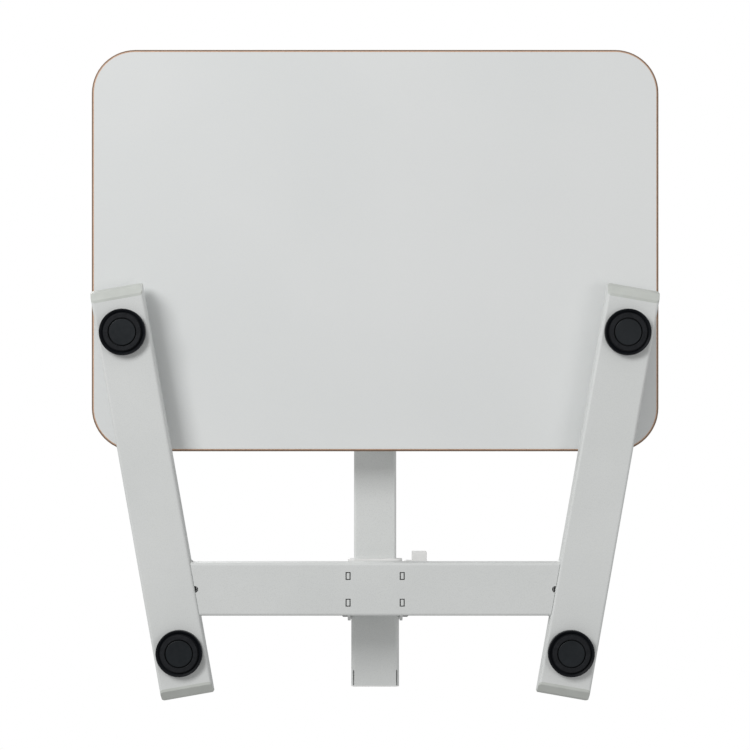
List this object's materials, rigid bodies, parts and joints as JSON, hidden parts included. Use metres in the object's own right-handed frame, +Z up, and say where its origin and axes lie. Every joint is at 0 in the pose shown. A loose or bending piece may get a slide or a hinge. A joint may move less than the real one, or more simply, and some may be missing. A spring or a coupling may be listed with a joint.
{
  "type": "portable drawing board",
  "caption": "Drawing board with rounded corners on a sliding post that folds down over a splayed tube base with rubber feet.",
  "frame": {"origin": "middle of the object's outline, on the floor that the feet stand on, with the stand folded flat", "axes": "+X to the user's right, -Y towards the user, +Z up"},
  "size_m": [0.6, 0.6855, 0.147],
  "materials": {
    "painted_steel": "satin off-white powder coat",
    "grey_plastic": "satin light warm grey moulding",
    "pale_plastic": "satin pale grey moulding",
    "black_plastic": "satin black moulding",
    "black_rubber": "matt black rubber",
    "zinc_steel": "bright zinc plate",
    "white_nylon": "natural nylon",
    "white_laminate": "matt white laminate, very finely textured",
    "wood_core": "sealed plywood, brown with pale outer plies"
  },
  "bodies": {
    "base": {"leg_left": "painted_steel", "leg_right": "painted_steel", "leg_end_caps": "grey_plastic", "crossbar": "painted_steel", "foot_cups": "black_plastic", "foot_pads": "black_rubber", "foot_plugs": "black_plastic", "foot_screws": "zinc_steel", "foot_rivet_nuts": "zinc_steel", "bracket_plate_left": "painted_steel", "bracket_plate_right": "painted_steel", "fold_stop": "painted_steel"},
    "sleeve": {"sleeve_tube": "painted_steel", "sleeve_collar": "pale_plastic", "lower_guide": "pale_plastic", "friction_washers": "white_nylon", "thrust_cup": "black_plastic", "nut_cap": "black_plastic", "lock_nut": "zinc_steel", "pivot_bolt": "zinc_steel", "cam_pin": "zinc_steel"},
    "lever": {"cam_lever": "pale_plastic"},
    "mast": {"mast_tube": "painted_steel", "mast_upper_cap": "black_plastic", "mast_lower_cap": "black_plastic", "saddle_upper": "painted_steel", "saddle_lower": "painted_steel", "saddle_bolts": "zinc_steel", "saddle_nuts": "zinc_steel", "wood_screws": "zinc_steel", "board_core": "wood_core", "board_face": "white_laminate", "board_back": "white_laminate"}
  },
  "joints": [
    {"name": "fold_hinge", "type": "hinge", "parent": "base", "child": "sleeve", "pos_m": [0, 0.2537, 0.1215], "axis": [-1, 0, 0], "range_deg": [0, 105]},
    {"name": "height_slide", "type": "slide", "parent": "sleeve", "child": "mast", "axis": [0, -1, 0], "range_m": [0, 0.06]},
    {"name": "lever_swing", "type": "hinge", "parent": "sleeve", "child": "lever", "pos_m": [0.047, 0.2537, 0.1215], "axis": [0, 0, 1], "range_deg": [0, 100]}
  ]
}
